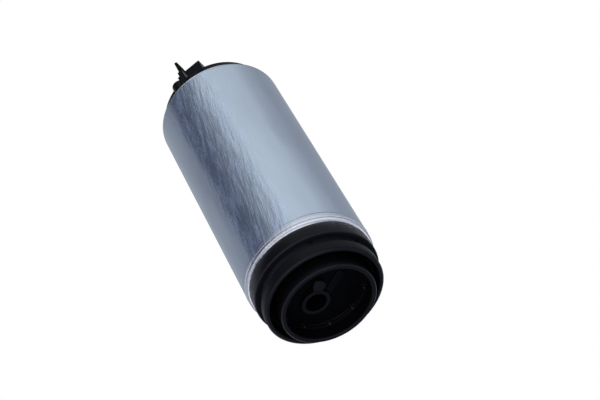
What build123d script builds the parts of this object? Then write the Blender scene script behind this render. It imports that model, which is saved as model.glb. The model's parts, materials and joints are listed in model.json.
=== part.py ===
"""In-tank electric fuel pump: gerotor pump stage, brushed motor and valved outlet cap in one tube.

Millimetres. +Z runs up the pump's axis from the inlet to the outlet. The origin is the centre
of the inlet cup's rim face, on which the pump stands. The terminals are on the -Y side.
"""

import os
from math import atan2, cos, degrees, hypot, pi, radians, sin, sqrt

from build123d import *

os.makedirs("parts", exist_ok=True)

# Clearances
fit_gap = 0.05
running_gap = 0.03
sliding_gap = 0.15
tooth_gap = 0.08

# Inlet cover
cup_inset = 4.65
cup_wall = 1.6
cup_draft = 0.3
cup_mouth_depth = 3.35
cup_depth = 6.15
cup_floor_wall = 2.5
cup_edge = 0.3
spigot_step = 0.9
shoulder_z = 9.95
shoulder_height = 4.7
shoulder_edge = 0.4
shoulder_inset = 0.75
cover_plug_length = 3.6
crush_rib_count = 10
crush_rib_width = 0.8
crush_rib_depth = 0.9
crush_rib_height = 1.2
crush_rib_angle = 30.0
port_offset = 3.7
port_angle = 152.0
port_outer_r = 4.75
port_bore_r = 3.5
port_rise = 1.2
nub_r = 2.05
nub_rise = 1.6
nub_offset = 4.3
nub_neck_width = 3.2
floor_bar_angle = -36.0
floor_bar_offset = 1.7
floor_bar_reach = 9.0
floor_bar_width = 2.6
floor_bar_rise = 0.4
cover_core_margin = 0.35
cover_pocket_wall = 2.3
cover_rib_count = 6
cover_rib_width = 1.4

# Rubber mount ring
ring_bottom_z = 3.55
ring_recess_depth = 3.3
ring_lip_wall = 1.55
ring_lip_inset = 0.65
ring_lip_height = 4.0
ring_groove_depth = 0.85
ring_edge = 0.3

# Housing tube
tube_outer_r = 21.5
tube_wall = 1.1
lip_reach = 1.0
lip_bend_r = 0.4
bead_distance = 3.5
bead_height = 0.09
bead_half_width = 0.5
roll_mark_distance = 1.9
roll_mark_depth = 0.08

# O-rings of the three sealed pieces
o_ring_wire_r = 0.68
o_ring_groove_width = 1.6

# Pump stage
inlet_plate_thickness = 4.0
port_pocket_depth = 1.0
gear_thickness = 5.0
outlet_plate_thickness = 5.0
outlet_hub_wall = 2.1
outlet_hub_height = 3.2
outer_lobes = 7
lobe_circle_r = 9.6
lobe_r = 2.4
eccentricity = 1.0
outer_gear_wall = 3.2
kidney_angle = 100.0
screw_count = 3
screw_angle = 30.0
screw_r = 1.25
screw_head_r = 2.2
screw_head_height = 1.6
screw_bite = 4.0
dowel_r = 1.5
dowel_length = 10.0
dowel_angles = (90.0, 330.0)

# Shaft and its drive
shaft_r = 2.0
shaft_foot = 2.2
shaft_flat = 1.5
bearing_wall = 2.0
lower_bearing_length = 5.2
upper_bearing_length = 5.5
thrust_button_height = 0.5
coupling_rim = 0.4
coupling_height = 2.2
dog_r = 0.8
dog_length = 2.6
dog_count = 3
washer_thickness = 0.6
washer_rim = 1.8

# Motor
flux_ring_wall = 1.1
air_gap = 0.6
magnet_thickness = 4.7
magnet_overhang = 3.0
magnet_angle = 132.0
clip_thickness = 0.6
clip_leg = 3.0
armature_gap = 1.15
lamination_length = 28.0
slot_count = 8
slot_floor_half_width = 0.6
slot_roof = 1.4
slot_mouth_width = 1.8
tooth_width = 3.0
slot_liner = 0.35
insulator_thickness = 0.8
winding_head_height = 3.8
winding_head_lap = 1.0
winding_bundle_width = 3.2
commutator_gap = 0.8
commutator_length = 9.4
commutator_r = 6.6
commutator_bar_depth = 2.0
commutator_slit = 0.5
tang_rise = 1.0
tang_height = 1.2
tang_width = 1.6

# Brush gear
bearing_distance = 1.2
carrier_thickness = 3.5
carrier_hub_wall = 2.2
brush_width = 4.0
brush_height = 5.0
brush_spring_length = 4.47
brush_lift = 1.9
brush_travel = 2.0
brush_box_wall = 1.1
brush_box_start = 0.6
brush_box_end = 0.35
retainer_thickness = 0.8
retainer_stud_r = 0.8
retainer_stud_length = 1.2
brush_spring_r = 1.6
brush_spring_wire_r = 0.2
brush_spring_turns = 4
lead_r = 0.55
lead_inset = 0.85
flow_window_mid_angles = (67.5, 112.5, 247.5, 292.5)
flow_window_angle = 38.0
flow_window_hub = 3.1
flow_window_rim = 2.7

# Suppression chokes
choke_rise = 4.1
choke_mid_y = -1.0
choke_core_r = 1.6
choke_core_length = 15.0
choke_wire_r = 0.45
choke_turns = 7
choke_pitch = 1.5
cradle_wall = 0.6
cradle_length = 1.5

# Outlet cover
cap_rim_height = 4.65
cap_rim_inset = 0.65
cap_rim_wall = 1.5
cap_recess = 3.65
cap_deck_thickness = 2.9
cap_skirt_wall = 1.8
cap_cavity_room = 8.25
cap_seal_depth = 3.3

# Check valve and outlet nozzle
nozzle_y = 8.0
nozzle_r = 4.0
nozzle_bore_r = 2.6
nozzle_height = 13.0
barb_rise = 0.5
barb_lead = 0.3
barb_length = 2.4
barb_land = 0.6
barb_pitch = 3.4
barb_count = 2
nozzle_base_height = 2.6
check_chamber_r = 4.3
check_chamber_wall = 1.8
check_chamber_length = 10.2
check_chamber_roof = 1.65
check_seat_height = 2.2
check_seat_bore_r = 2.4
poppet_head_r = 3.4
poppet_head_height = 1.2
poppet_stem_r = 0.9
poppet_stem_length = 4.0
poppet_seal_height = 0.6
guide_spoke_width = 0.9
guide_hub_wall = 0.6
check_spring_r = 3.0
check_spring_wire_r = 0.25
check_spring_turns = 5

# Relief valve
relief_y = -6.0
relief_wall = 1.3
relief_depth = 5.7
relief_floor_thickness = 0.8
relief_inlet_r = 1.9
relief_seat_height = 1.8
relief_seat_bore_r = 1.4
relief_cone = 0.9
relief_ball_r = 2.2
relief_ball_room = 0.7
relief_cap_height = 1.8
relief_cap_hole_r = 1.2
relief_collar_height = 1.6
relief_spring_r = 1.8
relief_spring_wire_r = 0.22
relief_spring_turns = 4

# Terminals, dividing wall and locating peg
terminal_turn = -12.3
blade_thickness = 0.8
blade_a_x = -1.05
blade_a_inset = 1.7
blade_a_width = 6.3
blade_a_height = 15.5
blade_b_x = 7.15
blade_b_inset = 8.65
blade_b_width = 4.8
blade_b_height = 11.4
blade_tip_chamfer = 0.9
blade_shoulder = 1.2
blade_foot_width = 2.4
blade_foot_distance = 0.4
pedestal_wall = 0.5
pedestal_height = 8.6
pedestal_step = 0.7
pedestal_low_height = 6.5
divider_x = 3.55
divider_inset = 2.1
divider_width = 5.9
divider_depth = 6.0
divider_height = 8.0
peg_r = 2.5
peg_inset = 0.45
peg_angle = -116.0
peg_height = 7.8

# Radii that follow from the sizes above
tube_bore_r = tube_outer_r - tube_wall
lip_r = tube_bore_r - lip_reach
bend_centre_r = tube_bore_r - lip_bend_r
inside_r = tube_bore_r - fit_gap
neck_r = lip_r - fit_gap
seal_floor_r = tube_bore_r - fit_gap - 2 * o_ring_wire_r
cup_outer_r = inside_r - cup_inset
cup_mouth_r = cup_outer_r - cup_wall
cup_floor_r = cup_mouth_r - cup_draft
spigot_r = cup_outer_r + spigot_step
shoulder_r = tube_outer_r - shoulder_inset
cover_core_r = port_offset + port_outer_r + cover_core_margin
cover_pocket_r = spigot_r - cover_pocket_wall
ring_lip_r = inside_r - ring_lip_inset
ring_mouth_r = ring_lip_r - ring_lip_wall
ring_groove_r = ring_lip_r - ring_groove_depth
inner_teeth = outer_lobes - 1
gear_root_r = lobe_circle_r - lobe_r - eccentricity
gear_tip_r = gear_root_r + 2 * eccentricity
gear_cavity_r = gear_tip_r + eccentricity
outer_gear_r = gear_cavity_r + outer_gear_wall
kidney_mid_r = (gear_root_r + gear_cavity_r) / 2
kidney_width = gear_cavity_r - gear_root_r
screw_circle_r = (outer_gear_r + eccentricity + seal_floor_r) / 2
dog_circle_r = (shaft_r + gear_root_r) / 2
coupling_r = dog_circle_r + dog_r + coupling_rim
bearing_outer_r = shaft_r + running_gap + bearing_wall
outlet_hub_r = bearing_outer_r + outlet_hub_wall
washer_r = shaft_r + washer_rim
flux_ring_inner_r = inside_r - flux_ring_wall
magnet_outer_r = flux_ring_inner_r - fit_gap
magnet_inner_r = magnet_outer_r - magnet_thickness
lamination_r = magnet_inner_r - air_gap
slot_half_pitch = radians(180 / slot_count)
slot_floor_r = (tooth_width / 2 + slot_floor_half_width) / sin(slot_half_pitch)
slot_top_r = lamination_r - slot_roof
winding_head_inner_r = slot_floor_r - winding_head_lap
commutator_hub_r = commutator_r - commutator_bar_depth
carrier_hub_r = bearing_outer_r + fit_gap + carrier_hub_wall
flow_window_inner_r = carrier_hub_r + flow_window_hub
flow_window_outer_r = inside_r - flow_window_rim
cap_cavity_r = inside_r - cap_skirt_wall
cap_rim_r = neck_r - cap_rim_inset
check_housing_r = check_chamber_r + check_chamber_wall
guide_hub_r = poppet_stem_r + sliding_gap / 2 + guide_hub_wall
relief_bore_r = relief_ball_r + relief_ball_room
relief_housing_r = relief_bore_r + relief_wall
relief_contact_r = relief_ball_r * cos(radians(45))
choke_coil_r = choke_core_r + choke_wire_r + fit_gap
peg_circle_r = inside_r - peg_r - peg_inset

# Levels that follow, from the inlet end up
tube_start_z = shoulder_z + shoulder_height
mount_groove_z = ring_bottom_z + ring_recess_depth
ring_lip_end_z = ring_bottom_z + ring_lip_height
lower_neck_z = tube_start_z - fit_gap
lower_seat_z = tube_start_z + tube_wall + fit_gap
cover_top_z = lower_seat_z + cover_plug_length
gear_z = cover_top_z + inlet_plate_thickness
outlet_plate_z = gear_z + gear_thickness
outlet_plate_seal_z = outlet_plate_z + outlet_plate_thickness / 2
flux_ring_z = outlet_plate_z + outlet_plate_thickness
outlet_hub_top_z = flux_ring_z + outlet_hub_height
winding_bottom_z = outlet_hub_top_z + armature_gap
lamination_start_z = winding_bottom_z + winding_head_height + insulator_thickness
lamination_end_z = lamination_start_z + lamination_length
winding_top_z = lamination_end_z + insulator_thickness + winding_head_height
magnet_start_z = lamination_start_z - magnet_overhang
magnet_length = lamination_length + 2 * magnet_overhang
commutator_start_z = winding_top_z + commutator_gap
commutator_end_z = commutator_start_z + commutator_length
brush_mid_z = commutator_start_z + tang_height + brush_lift + brush_height / 2
brush_top_z = brush_mid_z + brush_height / 2
upper_bearing_z = commutator_end_z + bearing_distance
carrier_top_z = upper_bearing_z + upper_bearing_length
carrier_z = carrier_top_z - carrier_thickness
shaft_start_z = cover_top_z + shaft_foot
shaft_end_z = carrier_top_z - 2 * fit_gap
choke_z = carrier_top_z + choke_rise
blade_foot_z = choke_z + choke_core_r - blade_thickness
cap_cavity_z = carrier_top_z + cap_cavity_room
cap_deck_z = cap_cavity_z + cap_deck_thickness
cap_rim_z = cap_deck_z + cap_recess
upper_neck_z = cap_rim_z - cap_rim_height
tube_end_z = upper_neck_z - fit_gap
upper_seat_z = tube_end_z - tube_wall - fit_gap
cap_seal_z = upper_seat_z - cap_seal_depth
nozzle_base_z = cap_deck_z + nozzle_base_height
nozzle_tip_z = cap_deck_z + nozzle_height
check_chamber_top_z = nozzle_base_z - check_chamber_roof
check_chamber_bottom_z = check_chamber_top_z - check_chamber_length
check_seat_z = check_chamber_bottom_z + check_seat_height
poppet_z = check_seat_z + poppet_seal_height + fit_gap
relief_bottom_z = cap_cavity_z - relief_depth
relief_seat_z = relief_bottom_z + relief_floor_thickness
relief_seat_top_z = relief_seat_z + relief_seat_height
relief_ball_z = relief_seat_top_z - relief_cone + 2 * relief_contact_r - relief_seat_bore_r + fit_gap
relief_spring_reach = relief_ball_r + relief_spring_wire_r + fit_gap
relief_spring_z = relief_ball_z + sqrt(relief_spring_reach**2 - relief_spring_r**2)
relief_top_z = cap_deck_z + relief_collar_height
relief_cap_z = relief_top_z - relief_cap_height

# Places beside the axis that follow
brush_box_start_x = commutator_r + tang_rise + brush_box_start
brush_box_end_x = flux_ring_inner_r - brush_box_end
retainer_x = brush_box_end_x - retainer_thickness
brush_end_x = retainer_x - brush_spring_length
channel_width = brush_width + 2 * sliding_gap
channel_height = brush_height + 2 * sliding_gap
choke_x = brush_end_x - lead_inset
choke_end_y = choke_mid_y - choke_core_length / 2
blade_foot_inner_y = choke_end_y - blade_foot_distance
blade_foot_outer_y = blade_foot_inner_y - blade_foot_width
blade_foot_middle_y = (blade_foot_inner_y + blade_foot_outer_y) / 2
port_x = port_offset * cos(radians(port_angle))
port_y = port_offset * sin(radians(port_angle))
nub_neck_length = hypot(port_x, port_y + nub_offset)
nub_neck_angle = degrees(atan2(port_y + nub_offset, port_x))
peg_x = peg_circle_r * cos(radians(peg_angle))
peg_y = peg_circle_r * sin(radians(peg_angle))


def circle_point(radius, angle):
    """A point on a circle round the axis, angle in degrees."""
    return (radius * cos(radians(angle)), radius * sin(radians(angle)))


def wound_wire(coil_r, wire_r, turns, height):
    """A coil of square-sectioned wire that winds up from the ground plane round the Z axis."""
    with BuildPart(mode=Mode.PRIVATE) as coil:
        with BuildLine():
            path = Helix(pitch=height / turns, height=height, radius=coil_r)
        with BuildSketch(Plane(origin=path @ 0, z_dir=path % 0)):
            RegularPolygon(wire_r, 4)
        sweep(path=path, is_frenet=True)
    return coil.part


# Housing tube: drawn tube with both ends rolled in, a bead and a rolling mark beside each lip
with BuildPart() as housing_tube:
    with BuildSketch(Plane.XZ):
        with BuildLine():
            low_bend_z = tube_start_z + tube_wall + lip_bend_r
            high_bend_z = tube_end_z - tube_wall - lip_bend_r
            low_bead_z = tube_start_z + bead_distance
            high_bead_z = tube_end_z - bead_distance
            low_mark_z = tube_start_z + roll_mark_distance
            bead_low = (tube_outer_r, low_bead_z - bead_half_width)
            bead_high = (tube_outer_r, low_bead_z + bead_half_width)
            mark_low = (tube_outer_r, low_mark_z - roll_mark_depth)
            mark_high = (tube_outer_r, low_mark_z + roll_mark_depth)
            Line((bend_centre_r, tube_start_z), (lip_r, tube_start_z))
            Line((lip_r, tube_start_z), (lip_r, tube_start_z + tube_wall))
            Line((lip_r, tube_start_z + tube_wall), (bend_centre_r, tube_start_z + tube_wall))
            Line((bend_centre_r, tube_start_z + tube_wall), (tube_bore_r, low_bend_z))
            Line((tube_bore_r, low_bend_z), (tube_bore_r, high_bend_z))
            Line((tube_bore_r, high_bend_z), (bend_centre_r, tube_end_z - tube_wall))
            Line((bend_centre_r, tube_end_z - tube_wall), (lip_r, tube_end_z - tube_wall))
            Line((lip_r, tube_end_z - tube_wall), (lip_r, tube_end_z))
            Line((lip_r, tube_end_z), (bend_centre_r, tube_end_z))
            RadiusArc((bend_centre_r, tube_end_z), (tube_outer_r, high_bend_z), lip_bend_r + tube_wall)
            Line((tube_outer_r, high_bend_z), bead_high)
            ThreePointArc(bead_high, (tube_outer_r + bead_height, low_bead_z), bead_low)
            Line(bead_low, mark_high)
            Line(mark_high, (tube_outer_r - roll_mark_depth, low_mark_z))
            Line((tube_outer_r - roll_mark_depth, low_mark_z), mark_low)
            Line(mark_low, (tube_outer_r, low_bend_z))
            RadiusArc((tube_outer_r, low_bend_z), (bend_centre_r, tube_start_z), lip_bend_r + tube_wall)
        make_face()
    revolve(axis=Axis.Z)
housing_tube.part.label = "housing_tube"
export_step(housing_tube.part, "parts/housing_tube.step")

# Inlet cover: a cup for the strainer, a spigot for the rubber ring and a plug in the tube
with BuildPart() as inlet_cover:
    with BuildSketch(Plane.XZ):
        with BuildLine():
            groove_low_z = lower_seat_z + (cover_plug_length - o_ring_groove_width) / 2
            groove_high_z = groove_low_z + o_ring_groove_width
            Polyline(
                (0, cup_depth),
                (cup_floor_r, cup_depth),
                (cup_mouth_r, cup_mouth_depth),
                (cup_mouth_r, cup_edge),
                (cup_mouth_r + cup_edge, 0),
                (cup_outer_r - cup_edge, 0),
                (cup_outer_r, cup_edge),
                (cup_outer_r, mount_groove_z),
                (spigot_r, mount_groove_z),
                (spigot_r, shoulder_z),
                (shoulder_r - shoulder_edge, shoulder_z),
            )
            RadiusArc(
                (shoulder_r - shoulder_edge, shoulder_z),
                (shoulder_r, shoulder_z + shoulder_edge),
                -shoulder_edge,
            )
            Polyline(
                (shoulder_r, shoulder_z + shoulder_edge),
                (shoulder_r, lower_neck_z),
                (neck_r, lower_neck_z),
                (neck_r, lower_seat_z),
                (bend_centre_r, lower_seat_z),
                (inside_r, lower_seat_z + lip_bend_r),
                (inside_r, groove_low_z),
                (seal_floor_r, groove_low_z),
                (seal_floor_r, groove_high_z),
                (inside_r, groove_high_z),
                (inside_r, cover_top_z),
                (0, cover_top_z),
                (0, cup_depth),
            )
        make_face()
    revolve(axis=Axis.Z)
    # Inlet port's ring, the nub that joins it, a low bar and the crush ribs, all on the cup's floor
    with BuildSketch(Plane.XY.offset(cup_depth)):
        with Locations((port_x, port_y)):
            Circle(port_outer_r)
        with Locations(Location((port_x / 2, (port_y - nub_offset) / 2, 0), (0, 0, nub_neck_angle))):
            Rectangle(nub_neck_length, nub_neck_width)
    extrude(amount=-port_rise)
    with BuildSketch(Plane.XY.offset(cup_depth)):
        with Locations((0, -nub_offset)):
            Circle(nub_r)
    extrude(amount=-nub_rise)
    with BuildSketch(Plane.XY.rotated((0, 0, floor_bar_angle)).offset(cup_depth)):
        with Locations((floor_bar_reach / 2, floor_bar_offset)):
            Rectangle(floor_bar_reach, floor_bar_width)
    extrude(amount=-floor_bar_rise)
    with BuildSketch(Plane.XY.offset(cup_depth)):
        with PolarLocations(cup_floor_r, crush_rib_count, start_angle=crush_rib_angle):
            Rectangle(crush_rib_depth, crush_rib_width)
    extrude(amount=-crush_rib_height)
    # Port bore right through, and the ribbed pocket that lightens the plug from above
    with BuildSketch(Plane.XY.offset(cup_depth - port_rise)):
        with Locations((port_x, port_y)):
            Circle(port_bore_r)
    extrude(amount=cover_top_z, mode=Mode.SUBTRACT)
    with BuildSketch(Plane.XY.offset(cover_top_z)):
        Circle(cover_pocket_r)
        Circle(cover_core_r, mode=Mode.SUBTRACT)
        with PolarLocations((cover_core_r + cover_pocket_r) / 2, cover_rib_count):
            Rectangle(cover_pocket_r, cover_rib_width, mode=Mode.SUBTRACT)
    extrude(amount=cup_depth + cup_floor_wall - cover_top_z, mode=Mode.SUBTRACT)
inlet_cover.part.label = "inlet_cover"
export_step(inlet_cover.part, "parts/inlet_cover.step")

# Rubber mount ring: its lip stands proud of the spigot and leaves a groove below the shoulder
with BuildPart() as rubber_mount_ring:
    with BuildSketch(Plane.XZ):
        with BuildLine():
            ring_bore_r = spigot_r + fit_gap
            ring_top_z = shoulder_z - fit_gap
            Polyline(
                (ring_bore_r, ring_top_z),
                (ring_bore_r, mount_groove_z + fit_gap),
                (ring_mouth_r, mount_groove_z + fit_gap),
                (ring_mouth_r, ring_bottom_z + fit_gap),
                (ring_lip_r - 2 * ring_edge, ring_bottom_z),
                (ring_lip_r - ring_edge, ring_bottom_z + ring_edge),
                (ring_lip_r, ring_bottom_z + 2 * ring_edge),
                (ring_lip_r, ring_lip_end_z),
                (ring_groove_r, ring_lip_end_z + ring_edge / 2),
                (ring_groove_r, ring_top_z),
                (ring_bore_r, ring_top_z),
            )
        make_face()
    revolve(axis=Axis.Z)
rubber_mount_ring.part.label = "rubber_mount_ring"
export_step(rubber_mount_ring.part, "parts/rubber_mount_ring.step")

# O-rings between the tube and the three pieces that it seals on
o_ring_levels = {
    "inlet_cover_o_ring": lower_seat_z + cover_plug_length / 2,
    "pump_o_ring": outlet_plate_seal_z,
    "outlet_cover_o_ring": cap_seal_z,
}
for node, level in o_ring_levels.items():
    with BuildPart() as o_ring:
        with BuildSketch(Plane.XZ):
            with Locations((tube_bore_r - fit_gap / 2 - o_ring_wire_r, level)):
                RegularPolygon(o_ring_wire_r, 8)
        revolve(axis=Axis.Z)
    o_ring.part.label = node
    export_step(o_ring.part, "parts/" + node + ".step")

# Pump inlet plate: kidney port on the +Y side, fed by a pocket over the cover's port bore
screw_angles = [screw_angle + 360 / screw_count * k for k in range(screw_count)]
plate_screws = [circle_point(screw_circle_r, angle) for angle in screw_angles]
plate_dowels = [circle_point(screw_circle_r, angle) for angle in dowel_angles]
screw_start_z = cover_top_z + fit_gap
screw_head_top_z = screw_start_z + screw_head_height
screw_length = gear_z - screw_head_top_z + gear_thickness + screw_bite
dowel_start_z = gear_z + gear_thickness / 2 - dowel_length / 2
with BuildLine() as inlet_kidney:
    CenterArc((-eccentricity / 2, 0), kidney_mid_r, 90 - kidney_angle / 2, kidney_angle)
with BuildLine() as outlet_kidney:
    CenterArc((-eccentricity / 2, 0), kidney_mid_r, -90 - kidney_angle / 2, kidney_angle)
with BuildPart() as pump_inlet_plate:
    with BuildSketch(Plane.XY.offset(cover_top_z)):
        Circle(inside_r)
    extrude(amount=inlet_plate_thickness)
    with BuildSketch(Plane.XY.offset(cover_top_z)):
        SlotArc(inlet_kidney.edge(), kidney_width)
    extrude(amount=inlet_plate_thickness, mode=Mode.SUBTRACT)
    with BuildSketch(Plane.XY.offset(cover_top_z)):
        with Locations((port_x, port_y)):
            Circle(port_bore_r)
        with Locations((port_x, port_y + kidney_width)):
            Circle(port_bore_r)
    extrude(amount=port_pocket_depth, mode=Mode.SUBTRACT)
    with BuildSketch(Plane.XY.offset(gear_z)):
        Circle(shaft_r + running_gap)
    extrude(amount=shaft_start_z - thrust_button_height - 2 * fit_gap - gear_z, mode=Mode.SUBTRACT)
    with BuildSketch(Plane.XY.offset(cover_top_z)):
        with Locations(*plate_screws):
            Circle(screw_head_r + fit_gap)
    extrude(amount=screw_head_height + 2 * fit_gap, mode=Mode.SUBTRACT)
    with BuildSketch(Plane.XY.offset(cover_top_z)):
        with Locations(*plate_screws):
            Circle(screw_r + fit_gap)
    extrude(amount=inlet_plate_thickness, mode=Mode.SUBTRACT)
    with BuildSketch(Plane.XY.offset(gear_z)):
        with Locations(*plate_dowels):
            Circle(dowel_r + fit_gap)
    extrude(amount=dowel_start_z - fit_gap - gear_z, mode=Mode.SUBTRACT)
pump_inlet_plate.part.label = "pump_inlet_plate"
export_step(pump_inlet_plate.part, "parts/pump_inlet_plate.step")

# Eccentric ring: the outer gear's bore, offset from the pump's axis
with BuildPart() as eccentric_ring:
    with BuildSketch(Plane.XY.offset(gear_z)):
        Circle(inside_r)
        with Locations((-eccentricity, 0)):
            Circle(outer_gear_r + running_gap, mode=Mode.SUBTRACT)
        with Locations(*plate_screws):
            Circle(screw_r + fit_gap, mode=Mode.SUBTRACT)
        with Locations(*plate_dowels):
            Circle(dowel_r + fit_gap, mode=Mode.SUBTRACT)
    extrude(amount=gear_thickness)
eccentric_ring.part.label = "eccentric_ring"
export_step(eccentric_ring.part, "parts/eccentric_ring.step")

# Outer gerotor ring: a cavity with seven round lobes, on the offset axis
with BuildPart() as outer_gerotor:
    with BuildSketch(Plane.XY.offset(gear_z + running_gap)):
        with Locations((-eccentricity, 0)):
            Circle(outer_gear_r)
    extrude(amount=gear_thickness - 2 * running_gap)
    with BuildSketch(Plane((-eccentricity, 0, gear_z))):
        Circle(gear_cavity_r + tooth_gap)
        with PolarLocations(lobe_circle_r, outer_lobes):
            Circle(lobe_r, mode=Mode.SUBTRACT)
    extrude(amount=gear_thickness, mode=Mode.SUBTRACT)
outer_gerotor.part.label = "outer_gerotor"
export_step(outer_gerotor.part, "parts/outer_gerotor.step")


def tooth_point(turn):
    """A point of the inner gear: the path of a lobe's centre, set in by the lobe's radius."""
    ratio = lobe_circle_r / (eccentricity * outer_lobes)
    lean = atan2(-sin(inner_teeth * turn), ratio - cos(inner_teeth * turn))
    inset = lobe_r + tooth_gap
    x = lobe_circle_r * cos(turn) - inset * cos(turn + lean) - eccentricity * cos(outer_lobes * turn)
    y = lobe_circle_r * sin(turn) - inset * sin(turn + lean) - eccentricity * sin(outer_lobes * turn)
    return (x, -y)


# Inner gerotor: the envelope of the lobes as the two gears roll, bored for the shaft and dogs
tooth_steps = 14 * inner_teeth
with BuildPart() as inner_gerotor:
    with BuildSketch(Plane.XY.offset(gear_z + running_gap)):
        with BuildLine():
            Spline(*[tooth_point(2 * pi * k / tooth_steps) for k in range(tooth_steps)], periodic=True)
        make_face()
        Circle(shaft_r + running_gap, mode=Mode.SUBTRACT)
        with PolarLocations(dog_circle_r, dog_count):
            Circle(dog_r + fit_gap, mode=Mode.SUBTRACT)
    extrude(amount=gear_thickness - 2 * running_gap)
inner_gerotor.part.label = "inner_gerotor"
export_step(inner_gerotor.part, "parts/inner_gerotor.step")

# Pump outlet plate: kidney port on the -Y side, recess for the coupling, hub for the bearing
with BuildPart() as pump_outlet_plate:
    with BuildSketch(Plane.XZ):
        with BuildLine():
            seal_low_z = outlet_plate_seal_z - o_ring_groove_width / 2
            seal_high_z = outlet_plate_seal_z + o_ring_groove_width / 2
            recess_z = outlet_plate_z + coupling_height + 2 * fit_gap
            Polyline(
                (coupling_r + sliding_gap, outlet_plate_z),
                (inside_r, outlet_plate_z),
                (inside_r, seal_low_z),
                (seal_floor_r, seal_low_z),
                (seal_floor_r, seal_high_z),
                (inside_r, seal_high_z),
                (inside_r, flux_ring_z),
                (outlet_hub_r, flux_ring_z),
                (outlet_hub_r, outlet_hub_top_z),
                (bearing_outer_r + fit_gap, outlet_hub_top_z),
                (bearing_outer_r + fit_gap, recess_z),
                (coupling_r + sliding_gap, recess_z),
                (coupling_r + sliding_gap, outlet_plate_z),
            )
        make_face()
    revolve(axis=Axis.Z)
    with BuildSketch(Plane.XY.offset(outlet_plate_z)):
        SlotArc(outlet_kidney.edge(), kidney_width)
    extrude(amount=outlet_plate_thickness, mode=Mode.SUBTRACT)
    with BuildSketch(Plane.XY.offset(outlet_plate_z)):
        with Locations(*plate_screws):
            Circle(screw_r + fit_gap)
    extrude(amount=screw_bite + fit_gap, mode=Mode.SUBTRACT)
    with BuildSketch(Plane.XY.offset(outlet_plate_z)):
        with Locations(*plate_dowels):
            Circle(dowel_r + fit_gap)
    extrude(amount=dowel_start_z + dowel_length + fit_gap - outlet_plate_z, mode=Mode.SUBTRACT)
pump_outlet_plate.part.label = "pump_outlet_plate"
export_step(pump_outlet_plate.part, "parts/pump_outlet_plate.step")

# Three screws clamp the plates on the ring, and two dowels line them up
with BuildPart() as plate_screw_set:
    with BuildSketch(Plane.XY.offset(screw_start_z)):
        with Locations(*plate_screws):
            Circle(screw_head_r)
    extrude(amount=screw_head_height)
    with BuildSketch(Plane.XY.offset(screw_head_top_z)):
        with Locations(*plate_screws):
            Circle(screw_r)
    extrude(amount=screw_length)
    with BuildSketch(Plane.XY.offset(screw_start_z)):
        with Locations(*plate_screws):
            RegularPolygon(screw_r, 6)
    extrude(amount=screw_head_height / 2, mode=Mode.SUBTRACT)
plate_screw_set.part.label = "plate_screws"
export_step(plate_screw_set.part, "parts/plate_screws.step")

with BuildPart() as dowel_set:
    with BuildSketch(Plane.XY.offset(dowel_start_z)):
        with Locations(*plate_dowels):
            Circle(dowel_r)
    extrude(amount=dowel_length)
dowel_set.part.label = "dowel_pins"
export_step(dowel_set.part, "parts/dowel_pins.step")

# Shaft with two flats for the coupling, the button that it stands on and its two bearings
coupling_z = outlet_plate_z + fit_gap
with BuildPart() as shaft:
    with BuildSketch(Plane.XY.offset(shaft_start_z)):
        Circle(shaft_r)
    extrude(amount=shaft_end_z - shaft_start_z)
    with BuildSketch(Plane.XY.offset(coupling_z)):
        Circle(shaft_r)
        Rectangle(2 * shaft_flat, 2 * shaft_r, mode=Mode.SUBTRACT)
    extrude(amount=coupling_height + fit_gap, mode=Mode.SUBTRACT)
shaft.part.label = "shaft"
export_step(shaft.part, "parts/shaft.step")

with BuildPart() as thrust_button:
    with BuildSketch(Plane.XY.offset(shaft_start_z - fit_gap - thrust_button_height)):
        Circle(shaft_r - fit_gap)
    extrude(amount=thrust_button_height)
thrust_button.part.label = "thrust_button"
export_step(thrust_button.part, "parts/thrust_button.step")

bearings = {
    "lower_bearing": (outlet_hub_top_z - lower_bearing_length, lower_bearing_length),
    "upper_bearing": (upper_bearing_z, upper_bearing_length),
}
for node, (level, length) in bearings.items():
    with BuildPart() as bearing:
        with BuildSketch(Plane.XY.offset(level)):
            Circle(bearing_outer_r)
            Circle(shaft_r + running_gap, mode=Mode.SUBTRACT)
        extrude(amount=length)
    bearing.part.label = node
    export_step(bearing.part, "parts/" + node + ".step")

# Drive coupling: slips over the shaft's flats and turns the inner gear by three dogs
with BuildPart() as drive_coupling:
    with BuildSketch(Plane.XY.offset(coupling_z)):
        Circle(coupling_r)
    extrude(amount=coupling_height)
    with BuildSketch(Plane.XY.offset(coupling_z)):
        with PolarLocations(dog_circle_r, dog_count):
            Circle(dog_r)
    extrude(amount=-dog_length)
    with BuildSketch(Plane.XY.offset(coupling_z)):
        Circle(shaft_r + fit_gap)
        with Locations((shaft_flat + fit_gap + shaft_r, 0), (-shaft_flat - fit_gap - shaft_r, 0)):
            Rectangle(2 * shaft_r, 3 * shaft_r, mode=Mode.SUBTRACT)
    extrude(amount=coupling_height, mode=Mode.SUBTRACT)
drive_coupling.part.label = "drive_coupling"
export_step(drive_coupling.part, "parts/drive_coupling.step")

washers = {
    "lower_thrust_washer": outlet_hub_top_z + fit_gap,
    "upper_thrust_washer": upper_bearing_z - fit_gap - washer_thickness,
}
for node, level in washers.items():
    with BuildPart() as washer:
        with BuildSketch(Plane.XY.offset(level)):
            Circle(washer_r)
            Circle(shaft_r + fit_gap / 2, mode=Mode.SUBTRACT)
        extrude(amount=washer_thickness)
    washer.part.label = node
    export_step(washer.part, "parts/" + node + ".step")

# Flux ring: the yoke behind the magnets, which also holds the two ends of the stack apart
with BuildPart() as flux_ring:
    with BuildSketch(Plane.XY.offset(flux_ring_z)):
        Circle(inside_r)
        Circle(inside_r - flux_ring_wall, mode=Mode.SUBTRACT)
    extrude(amount=carrier_z - flux_ring_z)
flux_ring.part.label = "flux_ring"
export_step(flux_ring.part, "parts/flux_ring.step")

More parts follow.
